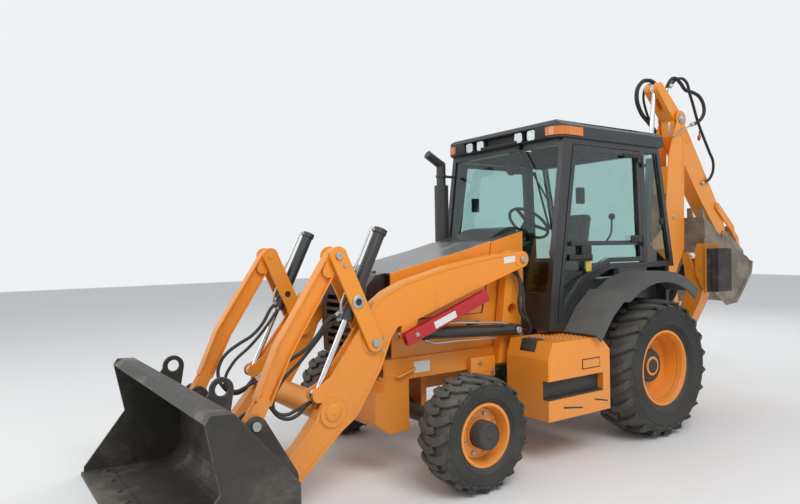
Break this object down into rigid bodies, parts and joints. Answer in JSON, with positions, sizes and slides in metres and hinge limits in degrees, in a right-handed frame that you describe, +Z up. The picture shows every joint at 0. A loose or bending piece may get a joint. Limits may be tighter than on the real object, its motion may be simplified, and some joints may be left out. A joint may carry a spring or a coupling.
{
  "type": "backhoe loader",
  "caption": "Orange backhoe loader with hollow black cab, curved loader arms and bucket, swinging boom, dipper and digging bucket, and two stabilisers, parked.",
  "frame": {"origin": "on the ground, midway between the front edge of the loader bucket and the rearmost point of the folded backhoe, on the centre plane", "axes": "+X forward, +Y to the left, +Z up"},
  "size_m": [7.4549, 2.23, 3.5019],
  "materials": {
    "orange_paint": "satin paint, dusty and chipped",
    "black_paint": "satin paint",
    "engine_iron": "painted casting",
    "roof_plastic": "moulded shell",
    "fender_plastic": "moulded",
    "tinted_glass": "slightly tinted",
    "seat_fabric": "woven",
    "exhaust_steel": "heat resistant paint",
    "tyre_rubber": "dusty",
    "pad_rubber": "laminated",
    "red_paint": "gloss paint",
    "worn_steel": "paint worn to bare steel",
    "chrome_rod": "hard chrome",
    "lamp_lens": "clear lens over a reflector",
    "amber_lens": "moulded lens",
    "black_plastic": "moulded",
    "grey_paint": "satin paint, dusty"
  },
  "bodies": {
    "chassis": {"chassis_frame": "orange_paint", "engine_block": "engine_iron", "cowlings": "black_paint", "cab_frame": "black_paint", "cab_roof": "roof_plastic", "cab_glass": "tinted_glass", "seat": "seat_fabric", "fenders": "fender_plastic", "side_boxes": "orange_paint", "exhaust": "exhaust_steel", "front_axle": "black_paint", "rear_axle": "black_paint", "lamps": "lamp_lens", "markers": "amber_lens", "steering_wheel": "black_plastic"},
    "hood": {"hood": "orange_paint", "hood_panel": "grey_paint"},
    "door_left": {"door_left": "black_paint", "door_glass_left": "tinted_glass"},
    "door_right": {"door_right": "black_paint", "door_glass_right": "tinted_glass"},
    "knuckle_left": {"knuckle_left": "black_paint"},
    "knuckle_right": {"knuckle_right": "black_paint"},
    "wheel_front_left": {"tyre_front_left": "tyre_rubber", "rim_front_left": "orange_paint"},
    "wheel_front_right": {"tyre_front_right": "tyre_rubber", "rim_front_right": "orange_paint"},
    "wheel_rear_left": {"tyre_rear_left": "tyre_rubber", "rim_rear_left": "orange_paint"},
    "wheel_rear_right": {"tyre_rear_right": "tyre_rubber", "rim_rear_right": "orange_paint"},
    "arms": {"lift_arms": "orange_paint", "safety_strut": "red_paint"},
    "loader_bucket": {"loader_bucket": "worn_steel"},
    "bellcranks": {"bellcranks": "orange_paint"},
    "tilt_links": {"tilt_links": "orange_paint"},
    "tilt_barrels": {"tilt_barrels": "black_paint"},
    "tilt_rods": {"tilt_rods": "chrome_rod"},
    "lift_barrels": {"lift_barrels": "black_paint"},
    "lift_rods": {"lift_rods": "chrome_rod"},
    "swing_tower": {"swing_tower": "orange_paint"},
    "boom": {"boom": "orange_paint"},
    "boom_barrel": {"boom_barrel": "black_paint"},
    "boom_rod": {"boom_rod": "chrome_rod"},
    "dipper": {"dipper": "orange_paint"},
    "dipper_barrel": {"dipper_barrel": "black_paint"},
    "dipper_rod": {"dipper_rod": "chrome_rod"},
    "digging_bucket": {"digging_bucket": "worn_steel"},
    "guide_links": {"guide_links": "orange_paint"},
    "push_link": {"push_link": "orange_paint"},
    "curl_barrel": {"curl_barrel": "black_paint"},
    "curl_rod": {"curl_rod": "chrome_rod"},
    "stabiliser_left": {"stabiliser_left": "orange_paint"},
    "pad_left": {"pad_left": "pad_rubber"},
    "stabiliser_barrel_left": {"stabiliser_barrel_left": "black_paint"},
    "stabiliser_rod_left": {"stabiliser_rod_left": "chrome_rod"},
    "stabiliser_right": {"stabiliser_right": "orange_paint"},
    "pad_right": {"pad_right": "pad_rubber"},
    "stabiliser_barrel_right": {"stabiliser_barrel_right": "black_paint"},
    "stabiliser_rod_right": {"stabiliser_rod_right": "chrome_rod"}
  },
  "joints": [
    {"name": "hood", "type": "hinge", "parent": "chassis", "child": "hood", "pos_m": [1.8605, 0, 1.521], "axis": [0, 1, 0], "range_deg": [0, 50]},
    {"name": "door_left", "type": "hinge", "parent": "chassis", "child": "door_left", "pos_m": [-0.7335, 0.735, 1.74], "axis": [0, 0, 1], "range_deg": [0, 80]},
    {"name": "door_right", "type": "hinge", "parent": "chassis", "child": "door_right", "pos_m": [-0.7335, -0.735, 1.74], "axis": [0, 0, -1], "range_deg": [0, 80]},
    {"name": "steer", "type": "hinge", "parent": "chassis", "child": "knuckle_left", "pos_m": [1.5215, 0.7, 0.402], "axis": [0, 0, 1], "range_deg": [-35, 35]},
    {"name": "steer_right", "type": "hinge", "parent": "chassis", "child": "knuckle_right", "pos_m": [1.5215, -0.7, 0.402], "axis": [0, 0, 1], "range_deg": [-37, 37]},
    {"name": "wheel_front_left", "type": "hinge", "parent": "knuckle_left", "child": "wheel_front_left", "pos_m": [1.5215, 0.912, 0.402], "axis": [0, 1, 0], "continuous": true},
    {"name": "wheel_front_right", "type": "hinge", "parent": "knuckle_right", "child": "wheel_front_right", "pos_m": [1.5215, -0.912, 0.402], "axis": [0, 1, 0], "continuous": true},
    {"name": "wheel_rear_left", "type": "hinge", "parent": "chassis", "child": "wheel_rear_left", "pos_m": [-0.6155, 0.832, 0.605], "axis": [0, 1, 0], "continuous": true},
    {"name": "wheel_rear_right", "type": "hinge", "parent": "chassis", "child": "wheel_rear_right", "pos_m": [-0.6155, -0.832, 0.605], "axis": [0, 1, 0], "continuous": true},
    {"name": "lift", "type": "hinge", "parent": "chassis", "child": "arms", "pos_m": [0.6925, 0, 1.59], "axis": [0, -1, 0], "range_deg": [0, 78]},
    {"name": "bucket_tilt", "type": "hinge", "parent": "arms", "child": "loader_bucket", "pos_m": [2.8145, 0, 0.262], "axis": [0, 1, 0], "range_deg": [-35, 110]},
    {"name": "bellcrank", "type": "hinge", "parent": "arms", "child": "bellcranks", "pos_m": [2.1415, 0, 1.054], "axis": [0, -1, 0], "range_deg": [-71.48, 24.11]},
    {"name": "tilt_link", "type": "hinge", "parent": "loader_bucket", "child": "tilt_links", "pos_m": [3.0145, 0, 0.63], "axis": [0, -1, 0], "range_deg": [-33.46, 100.88]},
    {"name": "tilt_barrel", "type": "hinge", "parent": "bellcranks", "child": "tilt_barrels", "pos_m": [2.2765, 0, 1.34], "axis": [0, -1, 0], "range_deg": [-20.44, 59.95]},
    {"name": "tilt_rod", "type": "slide", "parent": "tilt_barrels", "child": "tilt_rods", "axis": [0.4375, 0, -0.8992], "range_m": [-0.3565, 0.1169]},
    {"name": "lift_barrel", "type": "hinge", "parent": "chassis", "child": "lift_barrels", "pos_m": [0.7555, 0, 1.019], "axis": [0, -1, 0], "range_deg": [-2, 65.9]},
    {"name": "lift_rod", "type": "slide", "parent": "lift_barrels", "child": "lift_rods", "axis": [0.9985, 0, 0.0554], "range_m": [-0.005, 0.6433]},
    {"name": "swing", "type": "hinge", "parent": "chassis", "child": "swing_tower", "pos_m": [-2.0655, 0, 0.76], "axis": [0, 0, 1], "range_deg": [-90, 90]},
    {"name": "boom", "type": "hinge", "parent": "swing_tower", "child": "boom", "pos_m": [-2.2155, 0, 0.79], "axis": [0, -1, 0], "range_deg": [0, 115]},
    {"name": "boom_barrel", "type": "hinge", "parent": "swing_tower", "child": "boom_barrel", "pos_m": [-1.9605, 0, 1.12], "axis": [0, -1, 0], "range_deg": [-2, 107.99]},
    {"name": "boom_rod", "type": "slide", "parent": "boom_barrel", "child": "boom_rod", "axis": [-0.2682, 0, 0.9634], "range_m": [-0.005, 0.6825]},
    {"name": "dipper", "type": "hinge", "parent": "boom", "child": "dipper", "pos_m": [-2.3755, 0, 3.12], "axis": [0, 1, 0], "range_deg": [0, 95]},
    {"name": "dipper_barrel", "type": "hinge", "parent": "boom", "child": "dipper_barrel", "pos_m": [-1.8455, 0, 1.69], "axis": [0, -1, 0], "range_deg": [-2, 8.57]},
    {"name": "dipper_rod", "type": "slide", "parent": "dipper_barrel", "child": "dipper_rod", "axis": [-0.1079, 0, 0.9942], "range_m": [-0.6749, 0.005]},
    {"name": "digging_bucket", "type": "hinge", "parent": "dipper", "child": "digging_bucket", "pos_m": [-3.2955, 0, 1.776], "axis": [0, 1, 0], "range_deg": [0, 100]},
    {"name": "guide_link", "type": "hinge", "parent": "dipper", "child": "guide_links", "pos_m": [-3.14687, 0, 2.13476], "axis": [0, -1, 0], "range_deg": [-109.6, 2]},
    {"name": "push_link", "type": "hinge", "parent": "guide_links", "child": "push_link", "pos_m": [-3.4755, 0, 1.87], "axis": [0, -1, 0], "range_deg": [-2, 119.73]},
    {"name": "curl_barrel", "type": "hinge", "parent": "dipper", "child": "curl_barrel", "pos_m": [-2.54496, 0, 2.87244], "axis": [0, -1, 0], "range_deg": [-24.61, 2]},
    {"name": "curl_rod", "type": "slide", "parent": "curl_barrel", "child": "curl_rod", "axis": [-0.6803, 0, -0.7329], "range_m": [-0.543, 0.005]},
    {"name": "stabiliser_left", "type": "hinge", "parent": "chassis", "child": "stabiliser_left", "pos_m": [-1.6055, 0.46, 0.62], "axis": [-1, 0, 0], "range_deg": [0, 103]},
    {"name": "pad_left", "type": "hinge", "parent": "stabiliser_left", "child": "pad_left", "pos_m": [-1.6055, 0.83, 1.45], "axis": [1, 0, 0], "range_deg": [0, 15]},
    {"name": "stabiliser_barrel_left", "type": "hinge", "parent": "chassis", "child": "stabiliser_barrel_left", "pos_m": [-1.6055, 0.3, 0.86], "axis": [-1, 0, 0], "range_deg": [-2, 96.87]},
    {"name": "stabiliser_rod_left", "type": "slide", "parent": "stabiliser_barrel_left", "child": "stabiliser_rod_left", "axis": [0, 0.4573, 0.8893], "range_m": [-0.005, 0.4346]},
    {"name": "stabiliser_right", "type": "hinge", "parent": "chassis", "child": "stabiliser_right", "pos_m": [-1.6055, -0.46, 0.62], "axis": [1, 0, 0], "range_deg": [0, 103]},
    {"name": "pad_right", "type": "hinge", "parent": "stabiliser_right", "child": "pad_right", "pos_m": [-1.6055, -0.83, 1.45], "axis": [-1, 0, 0], "range_deg": [0, 15]},
    {"name": "stabiliser_barrel_right", "type": "hinge", "parent": "chassis", "child": "stabiliser_barrel_right", "pos_m": [-1.6055, -0.3, 0.86], "axis": [1, 0, 0], "range_deg": [-2, 96.87]},
    {"name": "stabiliser_rod_right", "type": "slide", "parent": "stabiliser_barrel_right", "child": "stabiliser_rod_right", "axis": [0, -0.4573, 0.8893], "range_m": [-0.005, 0.4346]}
  ],
  "couplings": [
    {"joint": "steer_right", "follows": "steer", "ratio": 1},
    {"joint": "bellcrank", "follows": "bucket_tilt", "ratio": -0.6317},
    {"joint": "tilt_link", "follows": "bucket_tilt", "ratio": 0.8989},
    {"joint": "tilt_barrel", "follows": "bucket_tilt", "ratio": 0.5268},
    {"joint": "tilt_rod", "follows": "bucket_tilt", "m_per_rad": -0.1831},
    {"joint": "lift_barrel", "follows": "lift", "ratio": 0.8192},
    {"joint": "lift_rod", "follows": "lift", "m_per_rad": 0.4688},
    {"joint": "boom_barrel", "follows": "boom", "ratio": 0.9216},
    {"joint": "boom_rod", "follows": "boom", "m_per_rad": 0.3375},
    {"joint": "dipper_barrel", "follows": "dipper", "ratio": 0.0691},
    {"joint": "dipper_rod", "follows": "dipper", "m_per_rad": -0.4041},
    {"joint": "guide_link", "follows": "digging_bucket", "ratio": -1.076},
    {"joint": "push_link", "follows": "digging_bucket", "ratio": 1.1773},
    {"joint": "curl_barrel", "follows": "digging_bucket", "ratio": -0.2261},
    {"joint": "curl_rod", "follows": "digging_bucket", "m_per_rad": -0.3083},
    {"joint": "stabiliser_barrel_left", "follows": "stabiliser_left", "ratio": 0.9211},
    {"joint": "stabiliser_rod_left", "follows": "stabiliser_left", "m_per_rad": 0.239},
    {"joint": "stabiliser_barrel_right", "follows": "stabiliser_right", "ratio": 0.9211},
    {"joint": "stabiliser_rod_right", "follows": "stabiliser_right", "m_per_rad": 0.239}
  ]
}
